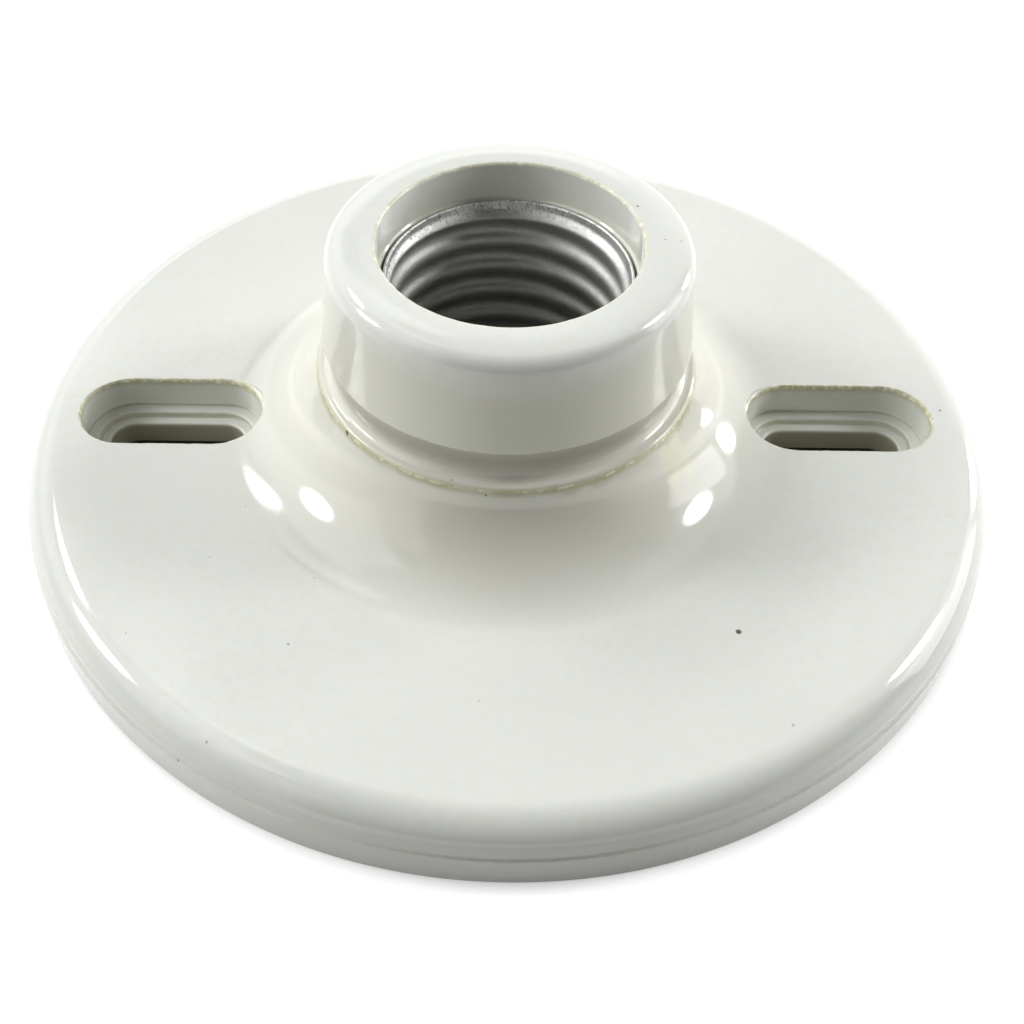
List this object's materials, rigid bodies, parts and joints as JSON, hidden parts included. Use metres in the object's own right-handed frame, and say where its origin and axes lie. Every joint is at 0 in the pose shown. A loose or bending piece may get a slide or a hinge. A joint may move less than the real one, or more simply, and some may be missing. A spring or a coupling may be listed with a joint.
{
  "type": "keyless lampholder",
  "caption": "Round glazed porcelain lampholder for a ceiling outlet box: flared neck, collar, screw shell for a medium lamp cap, two slots for the box screws, screw terminals at the back.",
  "frame": {"origin": "centre of the back rim, in the plane that meets the outlet box", "axes": "+Z along the lamp's axis, out of the mouth; X through the two mounting slots; +Y towards the live terminal"},
  "size_m": [0.1142, 0.1142, 0.0341],
  "materials": {
    "glazed_porcelain": "clear glossy glaze, off-white",
    "shell_aluminium": "rolled, satin",
    "zinc_plated_steel": "bright zinc plate",
    "contact_brass": "half-hard strip, satin",
    "terminal_brass": "stamped, satin",
    "nickel_plate": "nickel-plated brass"
  },
  "bodies": {
    "lampholder": {"porcelain_body": "glazed_porcelain", "screw_shell": "shell_aluminium", "left_shell_screw": "zinc_plated_steel", "right_shell_screw": "zinc_plated_steel", "centre_contact": "contact_brass", "contact_rivet": "contact_brass", "hot_terminal": "terminal_brass", "neutral_terminal": "nickel_plate"},
    "hot_screw": {"hot_terminal_screw": "terminal_brass"},
    "neutral_screw": {"neutral_terminal_screw": "nickel_plate"}
  },
  "joints": [
    {"name": "hot_screw_travel", "type": "slide", "parent": "lampholder", "child": "hot_screw", "axis": [0, 0, -1], "range_m": [0, 0.003]},
    {"name": "neutral_screw_travel", "type": "slide", "parent": "lampholder", "child": "neutral_screw", "axis": [0, 0, -1], "range_m": [0, 0.003]}
  ]
}
